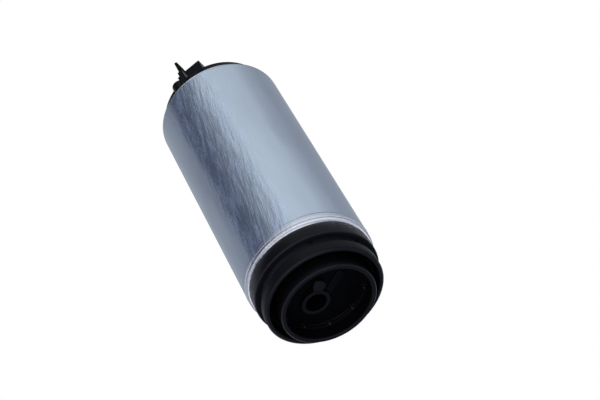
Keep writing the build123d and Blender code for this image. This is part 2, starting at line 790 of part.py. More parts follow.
# Field magnets at +X and -X, and the bent clips that spread them at +Y and -Y
for side, angle in (("a", 0), ("b", 180)):
    with BuildPart() as magnet:
        with BuildSketch(Plane.XY.offset(magnet_start_z)):
            with BuildLine():
                first = angle - magnet_angle / 2
                last = angle + magnet_angle / 2
                outer_arc = CenterArc((0, 0), magnet_outer_r, first, magnet_angle)
                inner_arc = CenterArc((0, 0), magnet_inner_r, first, magnet_angle)
                Line(circle_point(magnet_outer_r, first), circle_point(magnet_inner_r, first))
                Line(circle_point(magnet_outer_r, last), circle_point(magnet_inner_r, last))
            make_face()
        extrude(amount=magnet_length)
    magnet.part.label = "magnet_" + side
    export_step(magnet.part, "parts/magnet_" + side + ".step")

with BuildPart() as magnet_clips:
    for angle in (90, 270):
        with BuildSketch(Plane.XY.offset(magnet_start_z).rotated((0, 0, angle))):
            with BuildLine():
                clip_outer_r = magnet_outer_r
                clip_inner_r = clip_outer_r - clip_thickness
                clip_tip_r = clip_outer_r - clip_leg
                edge = (180 - magnet_angle) / 2 - degrees(fit_gap / clip_tip_r)
                inner_edge = edge - degrees(clip_thickness / clip_tip_r)
                ThreePointArc(
                    circle_point(clip_outer_r, -edge),
                    (clip_outer_r, 0),
                    circle_point(clip_outer_r, edge),
                )
                ThreePointArc(
                    circle_point(clip_inner_r, -inner_edge),
                    (clip_inner_r, 0),
                    circle_point(clip_inner_r, inner_edge),
                )
                for side in (-1, 1):
                    Polyline(
                        circle_point(clip_outer_r, side * edge),
                        circle_point(clip_tip_r, side * edge),
                        circle_point(clip_tip_r, side * inner_edge),
                        circle_point(clip_inner_r, side * inner_edge),
                    )
            make_face()
        extrude(amount=magnet_length)
magnet_clips.part.label = "magnet_clips"
export_step(magnet_clips.part, "parts/magnet_clips.step")


def slot_outline(inset):
    """One armature slot pointing along +X: parallel teeth leave it wider at the top."""
    low_half = slot_floor_half_width
    high_half = slot_top_r * sin(slot_half_pitch) - tooth_width / 2
    low_x = slot_floor_r * cos(slot_half_pitch) + inset
    high_x = slot_top_r * cos(slot_half_pitch) - inset
    return [
        (low_x, -low_half + inset),
        (high_x, -high_half + inset),
        (high_x, high_half - inset),
        (low_x, low_half - inset),
        (low_x, -low_half + inset),
    ]


def slotted_disc(level, thickness):
    """A disc of the armature's section, with its open slots and the shaft's bore."""
    with BuildPart(mode=Mode.PRIVATE) as disc:
        with BuildSketch(Plane.XY.offset(level)):
            Circle(lamination_r)
            Circle(shaft_r + fit_gap / 2, mode=Mode.SUBTRACT)
            with PolarLocations(0, slot_count):
                with BuildSketch(mode=Mode.SUBTRACT):
                    with BuildLine():
                        Polyline(*slot_outline(0))
                    make_face()
            with PolarLocations(lamination_r, slot_count):
                Rectangle(4 * slot_roof, slot_mouth_width, mode=Mode.SUBTRACT)
        extrude(amount=thickness)
    return disc.part


# Armature: lamination stack, end insulators and the winding that fills the slots
armature_discs = {
    "lamination_stack": (lamination_start_z, lamination_length),
    "lower_insulator": (lamination_start_z - insulator_thickness, insulator_thickness),
    "upper_insulator": (lamination_end_z, insulator_thickness),
}
for node, (level, thickness) in armature_discs.items():
    with BuildPart() as armature_disc:
        add(slotted_disc(level, thickness))
    armature_disc.part.label = node
    export_step(armature_disc.part, "parts/" + node + ".step")

# Winding: a bar in every slot, and at each end bundles that cross over to the third slot on
head_gap_z = insulator_thickness + fit_gap
winding_levels = (lamination_end_z + head_gap_z, lamination_start_z - head_gap_z)
with BuildPart() as armature_winding:
    with BuildSketch(Plane.XY.offset(lamination_start_z - head_gap_z)):
        with PolarLocations(0, slot_count):
            with BuildSketch():
                with BuildLine():
                    Polyline(*slot_outline(slot_liner))
                make_face()
    extrude(amount=lamination_length + 2 * head_gap_z)
    for level, rise in zip(winding_levels, (1, -1)):
        with BuildSketch(Plane.XY.offset(level)):
            bundle_r = (slot_floor_r + slot_top_r) / 2
            for k in range(slot_count):
                start = circle_point(bundle_r, 360 / slot_count * k)
                end = circle_point(bundle_r, 360 / slot_count * (k + 3))
                middle = ((start[0] + end[0]) / 2, (start[1] + end[1]) / 2)
                span = hypot(end[0] - start[0], end[1] - start[1])
                lean = degrees(atan2(end[1] - start[1], end[0] - start[0]))
                with Locations(Location((middle[0], middle[1], 0), (0, 0, lean))):
                    SlotCenterToCenter(span, winding_bundle_width)
            Circle(winding_head_inner_r, mode=Mode.SUBTRACT)
        extrude(amount=rise * (winding_head_height - fit_gap))
armature_winding.part.label = "armature_winding"
export_step(armature_winding.part, "parts/armature_winding.step")

# Commutator: moulded hub, and copper bars with tangs that hook the coil ends
with BuildPart() as commutator_hub:
    with BuildSketch(Plane.XY.offset(commutator_start_z)):
        Circle(commutator_hub_r)
        Circle(shaft_r + fit_gap / 2, mode=Mode.SUBTRACT)
    extrude(amount=commutator_length)
commutator_hub.part.label = "commutator_hub"
export_step(commutator_hub.part, "parts/commutator_hub.step")

with BuildPart() as commutator_bars:
    with BuildSketch(Plane.XY.offset(commutator_start_z + fit_gap)):
        Circle(commutator_r)
        with PolarLocations(commutator_r, slot_count, start_angle=180 / slot_count):
            Rectangle(2 * tang_rise, tang_width)
        Circle(commutator_hub_r + fit_gap, mode=Mode.SUBTRACT)
        with PolarLocations(commutator_r, slot_count):
            Rectangle(commutator_r, commutator_slit, mode=Mode.SUBTRACT)
    extrude(amount=tang_height)
    with BuildSketch(Plane.XY.offset(commutator_start_z + fit_gap + tang_height)):
        Circle(commutator_r)
        Circle(commutator_hub_r + fit_gap, mode=Mode.SUBTRACT)
        with PolarLocations(commutator_r, slot_count):
            Rectangle(commutator_r, commutator_slit, mode=Mode.SUBTRACT)
    extrude(amount=commutator_length - tang_height - 2 * fit_gap)
commutator_bars.part.label = "commutator_bars"
export_step(commutator_bars.part, "parts/commutator_bars.step")

# Brush carrier: bearing hub, two brush boxes below the plate, flow windows, choke cradles
with BuildPart() as brush_carrier:
    with BuildSketch(Plane.XY.offset(carrier_z)):
        Circle(inside_r)
    extrude(amount=carrier_thickness)
    with BuildSketch(Plane.XY.offset(upper_bearing_z)):
        Circle(carrier_hub_r)
    extrude(amount=upper_bearing_length)
    box_bottom_z = brush_mid_z - channel_height / 2 - brush_box_wall
    box_middle_x = (brush_box_start_x + brush_box_end_x) / 2
    box_length = brush_box_end_x - brush_box_start_x
    with BuildSketch(Plane.XY.offset(box_bottom_z)):
        with Locations((box_middle_x, 0), (-box_middle_x, 0)):
            Rectangle(box_length, channel_width + 2 * brush_box_wall)
    extrude(amount=carrier_z - box_bottom_z)
    with BuildSketch(Plane.YZ.offset(-brush_box_end_x)):
        with Locations((0, brush_mid_z)):
            Rectangle(channel_width, channel_height)
    extrude(amount=box_length, mode=Mode.SUBTRACT)
    with BuildSketch(Plane.YZ.offset(brush_box_end_x)):
        with Locations((0, brush_mid_z)):
            Rectangle(channel_width, channel_height)
    extrude(amount=-box_length, mode=Mode.SUBTRACT)
    with BuildSketch(Plane.XY.offset(brush_mid_z)):
        slot_middle_x = choke_x + brush_travel / 2
        with Locations((slot_middle_x, 0), (-slot_middle_x, 0)):
            SlotCenterToCenter(brush_travel, 2 * (lead_r + sliding_gap))
    extrude(amount=carrier_top_z - brush_mid_z, mode=Mode.SUBTRACT)
    with BuildSketch(Plane.XY.offset(carrier_z)):
        for middle in flow_window_mid_angles:
            with BuildLine():
                CenterArc((0, 0), flow_window_outer_r, middle - flow_window_angle / 2, flow_window_angle)
                CenterArc((0, 0), flow_window_inner_r, middle - flow_window_angle / 2, flow_window_angle)
                for edge in (middle - flow_window_angle / 2, middle + flow_window_angle / 2):
                    Line(circle_point(flow_window_inner_r, edge), circle_point(flow_window_outer_r, edge))
            make_face()
    extrude(amount=carrier_thickness, mode=Mode.SUBTRACT)
    cradle_reach = (choke_core_length - cradle_length) / 2 - fit_gap
    cradle_spots = [
        (side * choke_x, choke_mid_y + end * cradle_reach) for side in (-1, 1) for end in (-1, 1)
    ]
    with BuildSketch(Plane.XY.offset(carrier_top_z)):
        with Locations(*cradle_spots):
            Rectangle(2 * (choke_core_r + cradle_wall), cradle_length)
    extrude(amount=choke_z - carrier_top_z)
    with BuildSketch(Plane.XZ.offset(-choke_mid_y)):
        with Locations((choke_x, choke_z), (-choke_x, choke_z)):
            Circle(choke_core_r + fit_gap)
    extrude(amount=choke_core_length / 2 + fit_gap, both=True, mode=Mode.SUBTRACT)
    with BuildSketch(Plane.XY.offset(upper_bearing_z)):
        Circle(bearing_outer_r + fit_gap)
    extrude(amount=upper_bearing_length, mode=Mode.SUBTRACT)
brush_carrier.part.label = "brush_carrier"
export_step(brush_carrier.part, "parts/brush_carrier.step")

# Brushes, springs, retainers and leads, one set at +X and its mirror image at -X
for side, sign in (("a", 1), ("b", -1)):
    with BuildPart() as brush:
        with BuildSketch(Plane.XY.offset(brush_mid_z - brush_height / 2)):
            with Locations((sign * brush_end_x / 2, 0)):
                Rectangle(brush_end_x, brush_width)
            Circle(commutator_r + running_gap, mode=Mode.SUBTRACT)
        extrude(amount=brush_height)
    brush.part.label = "brush_" + side
    export_step(brush.part, "parts/brush_" + side + ".step")

    with BuildPart() as brush_spring:
        spring_start_x = brush_end_x + brush_spring_wire_r + fit_gap
        spring_room = retainer_x - brush_end_x - 2 * (brush_spring_wire_r + fit_gap)
        with Locations(Plane((sign * spring_start_x, 0, brush_mid_z), z_dir=(sign, 0, 0))):
            add(wound_wire(brush_spring_r, brush_spring_wire_r, brush_spring_turns, spring_room))
    brush_spring.part.label = "brush_spring_" + side
    export_step(brush_spring.part, "parts/brush_spring_" + side + ".step")

    with BuildPart() as brush_retainer:
        with BuildSketch(Plane((sign * retainer_x, 0, brush_mid_z), z_dir=(sign, 0, 0))):
            Rectangle(channel_height - 2 * fit_gap, channel_width - 2 * fit_gap)
        extrude(amount=retainer_thickness)
        with BuildSketch(Plane((sign * retainer_x, 0, brush_mid_z), z_dir=(sign, 0, 0))):
            Circle(retainer_stud_r)
        extrude(amount=-retainer_stud_length)
    brush_retainer.part.label = "brush_retainer_" + side
    export_step(brush_retainer.part, "parts/brush_retainer_" + side + ".step")

    with BuildPart() as brush_lead:
        lead_start_z = brush_top_z + fit_gap
        lead_end_z = choke_z - choke_coil_r - choke_wire_r - fit_gap
        with BuildSketch(Plane.XY.offset(lead_start_z)):
            with Locations((sign * choke_x, 0)):
                Circle(lead_r)
        extrude(amount=lead_end_z - lead_start_z)
    brush_lead.part.label = "brush_lead_" + side
    export_step(brush_lead.part, "parts/brush_lead_" + side + ".step")

    with BuildPart() as choke_core:
        with BuildSketch(Plane.XZ.offset(-choke_mid_y)):
            with Locations((sign * choke_x, choke_z)):
                Circle(choke_core_r)
        extrude(amount=choke_core_length / 2 - fit_gap, both=True)
    choke_core.part.label = "choke_core_" + side
    export_step(choke_core.part, "parts/choke_core_" + side + ".step")

    with BuildPart() as choke_coil:
        coil_length = choke_turns * choke_pitch
        coil_start_y = choke_mid_y + coil_length / 2
        tail_start_y = coil_start_y - coil_length + choke_wire_r
        tail_z = choke_z + choke_coil_r
        coil_plane = Plane((sign * choke_x, coil_start_y, choke_z), x_dir=(0, 0, 1), z_dir=(0, -1, 0))
        with Locations(coil_plane):
            add(wound_wire(choke_coil_r, choke_wire_r, choke_turns, coil_length))
        tail_plane = Plane((sign * choke_x, tail_start_y, tail_z), x_dir=(1, 0, 0), z_dir=(0, -1, 0))
        with BuildSketch(tail_plane):
            RegularPolygon(choke_wire_r, 4)
        extrude(amount=tail_start_y - blade_foot_outer_y)
    choke_coil.part.label = "choke_coil_" + side
    export_step(choke_coil.part, "parts/choke_coil_" + side + ".step")

# Outlet cover: skirt and deck, valve housings below, nozzle, wall, pedestals and peg above
terminal_block = Plane.XY.rotated((0, 0, terminal_turn))
blades = (
    ("a", blade_a_x, blade_a_inset - inside_r, blade_a_width, tube_end_z + blade_a_height),
    ("b", blade_b_x, blade_b_inset - inside_r, blade_b_width, tube_end_z + blade_b_height),
)
with BuildPart() as outlet_cover:
    with BuildSketch(Plane.XZ):
        with BuildLine():
            skirt_low_z = cap_seal_z - o_ring_groove_width / 2
            skirt_high_z = cap_seal_z + o_ring_groove_width / 2
            Polyline(
                (0, cap_cavity_z),
                (cap_cavity_r, cap_cavity_z),
                (cap_cavity_r, carrier_top_z + fit_gap),
                (inside_r, carrier_top_z + fit_gap),
                (inside_r, skirt_low_z),
                (seal_floor_r, skirt_low_z),
                (seal_floor_r, skirt_high_z),
                (inside_r, skirt_high_z),
                (inside_r, upper_seat_z - lip_bend_r),
                (bend_centre_r, upper_seat_z),
                (neck_r, upper_seat_z),
                (neck_r, upper_neck_z),
                (cap_rim_r, upper_neck_z),
                (cap_rim_r, cap_rim_z - cup_edge),
                (cap_rim_r - cup_edge, cap_rim_z),
                (cap_rim_r - cap_rim_wall, cap_rim_z),
                (cap_rim_r - cap_rim_wall, cap_deck_z),
                (0, cap_deck_z),
                (0, cap_cavity_z),
            )
        make_face()
    revolve(axis=Axis.Z)
    # Valve housings hang from the deck
    with BuildSketch(Plane.XY.offset(cap_cavity_z)):
        with Locations((0, nozzle_y)):
            Circle(check_housing_r)
    extrude(amount=check_chamber_bottom_z - cap_cavity_z)
    with BuildSketch(Plane.XY.offset(cap_cavity_z)):
        with Locations((0, relief_y)):
            Circle(relief_housing_r)
    extrude(amount=relief_bottom_z - cap_cavity_z)
    # Nozzle base, barbed nozzle and relief valve collar
    with BuildSketch(Plane.XY.offset(cap_deck_z)):
        with Locations((0, nozzle_y)):
            Circle(check_housing_r)
    extrude(amount=nozzle_base_height)
    with BuildSketch(Plane.XZ.offset(-nozzle_y)):
        with BuildLine():
            barb_r = nozzle_r + barb_rise
            barb_points = []
            for k in range(barb_count):
                top = nozzle_tip_z - k * barb_pitch
                barb_points.append((nozzle_r - barb_lead, top))
                barb_points.append((barb_r, top - barb_length + barb_land))
                barb_points.append((barb_r, top - barb_length))
                barb_points.append((nozzle_r, top - barb_length))
            Polyline(
                (0, nozzle_base_z),
                (0, nozzle_tip_z),
                *barb_points,
                (nozzle_r, nozzle_base_z),
                (0, nozzle_base_z),
            )
        make_face()
    revolve(axis=Axis((0, nozzle_y, 0), (0, 0, 1)))
    with BuildSketch(Plane.XY.offset(cap_deck_z)):
        with Locations((0, relief_y)):
            Circle(relief_housing_r)
    extrude(amount=relief_collar_height)
    # Dividing wall between the terminals, turned about the axis as they are
    with BuildSketch(terminal_block.offset(upper_neck_z)):
        with Locations((divider_x, divider_inset - inside_r + divider_depth / 2)):
            Rectangle(divider_width, divider_depth)
    extrude(amount=divider_height)
    # Stepped pedestal round the foot of each blade
    for side, x, outer_y, width, tip_z in blades:
        half = blade_thickness / 2 + pedestal_wall
        lean = -pedestal_step if x < 0 else pedestal_step
        with BuildSketch(terminal_block.offset(upper_neck_z)):
            with Locations((x + lean / 2, outer_y + width / 2)):
                Rectangle(2 * half + pedestal_step, width + 2 * pedestal_wall)
        extrude(amount=pedestal_low_height)
        with BuildSketch(terminal_block.offset(upper_neck_z)):
            with Locations((x, outer_y + width / 2)):
                Rectangle(2 * half, width + 2 * pedestal_wall)
        extrude(amount=pedestal_height)
    # Domed locating peg beside the first terminal
    with BuildSketch(Plane.XY.offset(cap_deck_z)):
        with Locations((peg_x, peg_y)):
            Circle(peg_r)
    extrude(amount=tube_end_z + peg_height - peg_r - cap_deck_z)
    with Locations((peg_x, peg_y, tube_end_z + peg_height - peg_r)):
        Sphere(peg_r, arc_size1=0)
    # Valve chambers, nozzle bore and relief valve bore
    with BuildSketch(Plane.XY.offset(check_chamber_bottom_z)):
        with Locations((0, nozzle_y)):
            Circle(check_chamber_r)
    extrude(amount=check_chamber_top_z - check_chamber_bottom_z, mode=Mode.SUBTRACT)
    with BuildSketch(Plane.XY.offset(check_chamber_top_z)):
        with Locations((0, nozzle_y)):
            Circle(nozzle_bore_r)
    extrude(amount=nozzle_tip_z - check_chamber_top_z, mode=Mode.SUBTRACT)
    with BuildSketch(Plane.XY.offset(relief_bottom_z)):
        with Locations((0, relief_y)):
            Circle(relief_inlet_r)
    extrude(amount=relief_floor_thickness, mode=Mode.SUBTRACT)
    with BuildSketch(Plane.XY.offset(relief_seat_z)):
        with Locations((0, relief_y)):
            Circle(relief_bore_r)
    extrude(amount=relief_top_z - relief_seat_z, mode=Mode.SUBTRACT)
    # Slits that the blades pass through
    for side, x, outer_y, width, tip_z in blades:
        with BuildSketch(terminal_block.offset(cap_cavity_z)):
            with Locations((x, outer_y + width / 2)):
                Rectangle(blade_thickness + 2 * fit_gap, width + 2 * fit_gap)
        extrude(amount=tip_z - cap_cavity_z, mode=Mode.SUBTRACT)
outlet_cover.part.label = "outlet_cover"
export_step(outlet_cover.part, "parts/outlet_cover.step")

# Terminal blades: chamfered tip above the cover, a neck below it and a foot at the choke's end
for side, x, outer_y, width, tip_z in blades:
    sign = -1 if x < 0 else 1
    with BuildPart() as terminal:
        inner_y = outer_y + width
        neck_top_z = cap_cavity_z - fit_gap
        blade_origin = terminal_block.from_local_coords((x, 0, 0))
        blade_plane = Plane(blade_origin, x_dir=terminal_block.y_dir, z_dir=terminal_block.x_dir)
        with BuildSketch(blade_plane):
            with BuildLine():
                Polyline(
                    (outer_y, neck_top_z),
                    (outer_y, tip_z - blade_tip_chamfer),
                    (outer_y + blade_tip_chamfer, tip_z),
                    (inner_y - blade_tip_chamfer, tip_z),
                    (inner_y, tip_z - blade_tip_chamfer),
                    (inner_y, neck_top_z),
                    (outer_y, neck_top_z),
                )
            make_face()
        extrude(amount=blade_thickness / 2, both=True)
        neck_outer_y = outer_y + blade_shoulder
        turn_sin = sin(radians(terminal_turn))
        turn_cos = cos(radians(terminal_turn))
        foot_y = (blade_foot_middle_y - x * turn_sin) / turn_cos
        foot_start_x = abs(x * turn_cos - foot_y * turn_sin)
        neck_inner_y = max(inner_y, foot_y)
        with BuildSketch(terminal_block.offset(blade_foot_z)):
            with Locations((x, (neck_outer_y + neck_inner_y) / 2)):
                Rectangle(blade_thickness, neck_inner_y - neck_outer_y)
        extrude(amount=neck_top_z - blade_foot_z)
        foot_end_x = choke_x + choke_wire_r + blade_foot_distance
        with BuildSketch(Plane.XY.offset(blade_foot_z)):
            with Locations((sign * (foot_start_x + foot_end_x) / 2, blade_foot_middle_y)):
                Rectangle(foot_end_x - foot_start_x, blade_foot_width)
        extrude(amount=blade_thickness)
    terminal.part.label = "terminal_blade_" + side
    export_step(terminal.part, "parts/terminal_blade_" + side + ".step")

# Check valve: seat with a spoked guide, poppet with a rubber seal, and its spring
with BuildPart() as check_valve_seat:
    with BuildSketch(Plane.XY.offset(check_chamber_bottom_z)):
        with Locations((0, nozzle_y)):
            Circle(check_chamber_r - fit_gap)
            Circle(check_seat_bore_r, mode=Mode.SUBTRACT)
            Rectangle(2 * check_seat_bore_r, guide_spoke_width)
            Rectangle(guide_spoke_width, 2 * check_seat_bore_r)
            Circle(guide_hub_r)
            Circle(poppet_stem_r + sliding_gap / 2, mode=Mode.SUBTRACT)
    extrude(amount=check_seat_height)
check_valve_seat.part.label = "check_valve_seat"
export_step(check_valve_seat.part, "parts/check_valve_seat.step")

with BuildPart() as check_valve_poppet:
    with BuildSketch(Plane.XY.offset(poppet_z + fit_gap)):
        with Locations((0, nozzle_y)):
            Circle(poppet_head_r)
    extrude(amount=poppet_head_height)
    with BuildSketch(Plane.XY.offset(poppet_z + fit_gap)):
        with Locations((0, nozzle_y)):
            Circle(poppet_stem_r)
    extrude(amount=-poppet_stem_length)
check_valve_poppet.part.label = "check_valve_poppet"
export_step(check_valve_poppet.part, "parts/check_valve_poppet.step")

with BuildPart() as check_valve_seal:
    with BuildSketch(Plane.XY.offset(check_seat_z + fit_gap)):
        with Locations((0, nozzle_y)):
            Circle(poppet_head_r)
            Circle(poppet_stem_r + fit_gap / 2, mode=Mode.SUBTRACT)
    extrude(amount=poppet_seal_height - fit_gap)
check_valve_seal.part.label = "check_valve_seal"
export_step(check_valve_seal.part, "parts/check_valve_seal.step")

with BuildPart() as check_valve_spring:
    poppet_top_z = poppet_z + fit_gap + poppet_head_height
    spring_base_z = poppet_top_z + check_spring_wire_r + fit_gap
    spring_height = check_chamber_top_z - check_spring_wire_r - fit_gap - spring_base_z
    with Locations((0, nozzle_y, spring_base_z)):
        add(wound_wire(check_spring_r, check_spring_wire_r, check_spring_turns, spring_height))
check_valve_spring.part.label = "check_valve_spring"
export_step(check_valve_spring.part, "parts/check_valve_spring.step")

# Relief valve: seat, ball, spring and the pressed cap with its outlet hole
with BuildPart() as relief_valve_seat:
    with BuildSketch(Plane.XZ.offset(-relief_y)):
        with BuildLine():
            Polyline(
                (relief_seat_bore_r, relief_seat_z + fit_gap),
                (relief_bore_r - fit_gap, relief_seat_z + fit_gap),
                (relief_bore_r - fit_gap, relief_seat_top_z),
                (relief_seat_bore_r + relief_cone, relief_seat_top_z),
                (relief_seat_bore_r, relief_seat_top_z - relief_cone),
                (relief_seat_bore_r, relief_seat_z + fit_gap),
            )
        make_face()
    revolve(axis=Axis((0, relief_y, 0), (0, 0, 1)))
relief_valve_seat.part.label = "relief_valve_seat"
export_step(relief_valve_seat.part, "parts/relief_valve_seat.step")

with BuildPart() as relief_valve_ball:
    with Locations((0, relief_y, relief_ball_z)):
        Sphere(relief_ball_r)
relief_valve_ball.part.label = "relief_valve_ball"
export_step(relief_valve_ball.part, "parts/relief_valve_ball.step")

with BuildPart() as relief_valve_spring:
    spring_height = relief_cap_z - relief_spring_wire_r - fit_gap - relief_spring_z
    with Locations((0, relief_y, relief_spring_z)):
        add(wound_wire(relief_spring_r, relief_spring_wire_r, relief_spring_turns, spring_height))
relief_valve_spring.part.label = "relief_valve_spring"
export_step(relief_valve_spring.part, "parts/relief_valve_spring.step")

with BuildPart() as relief_valve_cap:
    with BuildSketch(Plane.XY.offset(relief_cap_z)):
        with Locations((0, relief_y)):
            Circle(relief_bore_r - fit_gap)
            Circle(relief_cap_hole_r, mode=Mode.SUBTRACT)
    extrude(amount=relief_cap_height)
relief_valve_cap.part.label = "relief_valve_cap"
export_step(relief_valve_cap.part, "parts/relief_valve_cap.step")
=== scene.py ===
"""Looks of the in-tank fuel pump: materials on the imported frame, studio and camera.

Metres, in the frame's axes: +Z from the inlet to the outlet, the inlet cup's rim face at z = 0.
"""

import json
from math import cos, pi, radians, sin

import bmesh
import bpy
from mathutils import Matrix, Vector

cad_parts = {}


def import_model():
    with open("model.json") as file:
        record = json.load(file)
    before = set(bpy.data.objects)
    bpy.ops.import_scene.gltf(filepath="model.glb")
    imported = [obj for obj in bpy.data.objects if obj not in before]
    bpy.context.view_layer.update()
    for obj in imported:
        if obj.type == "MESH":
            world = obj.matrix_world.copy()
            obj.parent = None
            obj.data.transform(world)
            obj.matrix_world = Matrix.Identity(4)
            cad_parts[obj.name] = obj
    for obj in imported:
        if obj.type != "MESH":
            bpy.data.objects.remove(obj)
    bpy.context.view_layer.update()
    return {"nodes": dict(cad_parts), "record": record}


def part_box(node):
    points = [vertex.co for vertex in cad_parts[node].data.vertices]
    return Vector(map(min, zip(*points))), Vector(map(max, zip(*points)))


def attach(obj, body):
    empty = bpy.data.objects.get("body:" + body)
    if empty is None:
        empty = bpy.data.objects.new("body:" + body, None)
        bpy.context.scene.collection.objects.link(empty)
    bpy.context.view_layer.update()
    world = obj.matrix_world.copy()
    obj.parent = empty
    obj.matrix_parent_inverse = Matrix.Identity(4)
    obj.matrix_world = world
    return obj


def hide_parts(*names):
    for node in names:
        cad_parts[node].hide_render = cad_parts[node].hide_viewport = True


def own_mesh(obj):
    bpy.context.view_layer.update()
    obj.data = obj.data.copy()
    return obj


MM = 0.001

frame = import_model()
nodes = frame["nodes"]

# Camera, fitted to the photograph
CAMERA_PLACE = (0.00022, -0.37741, -0.33104)
CAMERA_RIGHT = (0.86812, 0.34097, -0.36071)
CAMERA_UP = (0.49612, -0.61877, 0.60909)
CAMERA_LENS = 98.5
SENSOR_WIDTH = 36.0
CAMERA_CLIP = 0.01

# Floor; reflections look through it within the clear radius
FLOOR_LEVEL = -0.3 * MM
FLOOR_SIZE = 4.0
FLOOR_GREY = 0.86
FLOOR_ROUGHNESS = 0.9
FLOOR_SPECULAR = 0.1
CLEAR_RADIUS = 35 * MM
CLEAR_FADE = 15 * MM

# Wall of panels; it dims between two heights, and its two rows blend between two others
WALL_RADIUS = 0.9
WALL_LOW = -3.0
WALL_HIGH = 3.0
WALL_STEPS = 96
DIM_LOW = 1.2
DIM_HIGH = 1.7
DIM_LEVEL = 0.5
HORIZON_LOW = -0.25
HORIZON_HIGH = 0.05

# Panels of the wall: azimuth in degrees and level
UPPER_PANELS = (
    (-180, 0.31),
    (-168, 0.09),
    (-140, 0.12),
    (-125, 0.20),
    (-105, 0.40),
    (-85, 0.80),
    (-60, 0.76),
    (-30, 0.68),
    (0, 0.48),
    (20, 0.38),
    (45, 0.38),
    (80, 0.44),
    (120, 0.44),
    (150, 0.38),
    (180, 0.31),
)
LOWER_PANELS = (
    (-180, 0.08),
    (-150, 0.45),
    (-120, 0.90),
    (-60, 0.90),
    (-20, 0.30),
    (0, 0.08),
    (90, 0.04),
    (180, 0.08),
)

# Tint of the panels: red and blue as shares of the level, then what is taken off or added
PANEL_RED = 0.955
PANEL_BLUE = 0.98
RED_LOSS = 0.008
UPPER_BLUE_GAIN = 0.052
LOWER_BLUE_GAIN = 0.02

# Lamps: name, place, size and power
LAMPS = (
    ("key", (-0.55, -0.55, 0.35), 0.5, 4.0),
    ("low_key", (-0.35, -0.6, -0.55), 0.5, 1.5),
    ("top", (0.3, 0.3, 0.8), 0.6, 5.0),
)
LAMP_TARGET = (0, 0, 0.055)
FILL_LEVEL = 0.4

# Grain: how much broader its patches are; painted highlights: their least cover, and the soft ends of
# the bands that place them
PATCH_BREADTH = 12
PATCH_LEAST = 0.8
EDGE_FADE = 0.1 * MM

# Tube: colours, polish, soft dents and fine hairs
TUBE_DARK = (0.54, 0.61, 0.71)
TUBE_LIGHT = (0.59, 0.67, 0.78)
TUBE_ROUGH = (0.17, 0.25)
DENT_GRAIN = 60.0
DENT_STRETCH = 0.35
DENT_DETAIL = 2.0
DENT_DEPTH = 0.75 * MM
HAIR_GRAIN = 3000.0
HAIR_STRETCH = 0.05
HAIR_DETAIL = 2.0
HAIR_DEPTH = 0.004 * MM

# Tube: the strip of rubbed strokes, which fades in between two distances along its azimuth; the
# strokes' paler, bluer colour is painted reflection
TUBE_RADIUS = 21.5 * MM
RUBBED_AZIMUTH = radians(-106)
RUBBED_FROM = 0.88 * TUBE_RADIUS
RUBBED_FULL = 0.935 * TUBE_RADIUS
RUBBED_LEAST = 0.06
STROKE_LEAN = radians(9)
STROKE_GRAIN = 850.0
STROKE_STRETCH = 0.13
STROKE_DETAIL = 6.0
STROKE_SHARPNESS = 0.62
STROKE_SPAN = (0.45, 0.60)
STROKE_DEPTH = 0.20 * MM
STROKE_REFLECTION_COLOUR = (0.67, 0.79, 1.00)
STROKE_REFLECTION_COVER = 0.7
STROKE_DULLING = 0.15

# Tube: the turned lip at the inlet end, its pale colour partly painted reflection, and above it a dark
# line of painted shade along a shallow groove, with its levels in mm
LIP_TOP = 17.7 * MM
LIP_FADE = 0.2 * MM
LIP_DARK = (0.46, 0.48, 0.60)
LIP_SHEEN_LIGHT = (0.90, 0.91, 0.99)
RING_GRAIN = 2200.0
RING_SPAN = (0.42, 0.53)
RING_DEPTH = 0.08 * MM
GROOVE_SHADE = (18.2, 18.4)
GROOVE_SHADE_COLOUR = (0.30, 0.33, 0.40)
GROOVE_SHADE_COVER = 0.6

# Materials of the outer pieces: least and most roughness, and the height of the bumps in mm
BLACK_PLASTIC = {
    "dark": (0.0017, 0.0018, 0.0025),
    "light": (0.0027, 0.0029, 0.0039),
    "metallic": 0,
    "rough": (0.27, 0.36),
    "bump": 0.008,
    "specular": 0.16,
    "tint": (0.75, 0.77, 1.0),
}
BLACK_RUBBER = {
    "dark": (0.0026, 0.0027, 0.0036),
    "light": (0.0038, 0.0040, 0.0052),
    "metallic": 0,
    "rough": (0.33, 0.42),
    "bump": 0.01,
    "specular": 0.14,
    "tint": (0.78, 0.80, 1.0),
}
# Terminal blades: tinned brass coloured near black, which is painted shade
TIN_IN_PAINTED_SHADE = {
    "dark": (0.020, 0.018, 0.017),
    "light": (0.042, 0.037, 0.035),
    "metallic": 1,
    "rough": (0.40, 0.54),
    "along": 0.1,
    "tint": (0.22, 0.20, 0.20),
}
# Colour of the painted highlights on the black pieces
PAINTED_HIGHLIGHT_BLACK = (0.0215, 0.0225, 0.0310)

# Other materials: dark and light colour, how metallic, least and most roughness
OTHER_MATERIALS = {
    "cast_alloy": ((0.58, 0.58, 0.58), (0.68, 0.68, 0.68), 1, (0.38, 0.52)),
    "sintered_steel": ((0.24, 0.24, 0.25), (0.36, 0.36, 0.37), 1, (0.40, 0.55)),
    "hard_steel": ((0.64, 0.64, 0.65), (0.72, 0.72, 0.73), 1, (0.14, 0.24)),
    "bronze": ((0.52, 0.34, 0.17), (0.64, 0.44, 0.24), 1, (0.36, 0.50)),
    "ferrite": ((0.08, 0.08, 0.08), (0.14, 0.14, 0.14), 0.3, (0.55, 0.70)),
    "spring_steel": ((0.58, 0.58, 0.58), (0.70, 0.70, 0.70), 1, (0.25, 0.35)),
    "copper": ((0.66, 0.34, 0.20), (0.78, 0.46, 0.28), 1, (0.26, 0.38)),
    "white_plastic": ((0.70, 0.70, 0.66), (0.80, 0.80, 0.76), 0, (0.40, 0.52)),
    "carbon": ((0.04, 0.04, 0.04), (0.09, 0.09, 0.09), 0.2, (0.50, 0.65)),
}
